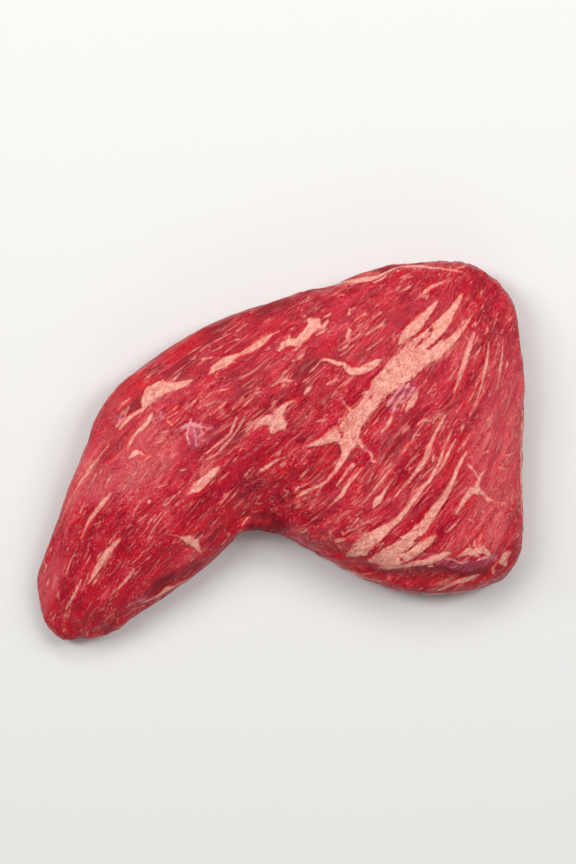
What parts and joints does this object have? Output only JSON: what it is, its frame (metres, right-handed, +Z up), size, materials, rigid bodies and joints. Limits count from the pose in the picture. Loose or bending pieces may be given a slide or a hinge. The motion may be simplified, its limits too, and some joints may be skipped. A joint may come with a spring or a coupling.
{
  "type": "raw beef tri-tip",
  "caption": "Raw boneless beef tri-tip roast: a thick bent slab with a tapering tail, marbled red muscle and creamy fat seams, lying flat.",
  "frame": {"origin": "on the resting plane, under the centre of the bounding box", "axes": "+X towards the wide end, with the tail at -X; +Y towards the long outer side, with the inner bend at -Y; +Z up"},
  "size_m": [0.2564, 0.2, 0.0457],
  "materials": {
    "raw_beef": "moist raw muscle with cream fat marbling"
  },
  "bodies": {
    "root": {"tri_tip": "raw_beef"}
  },
  "joints": []
}
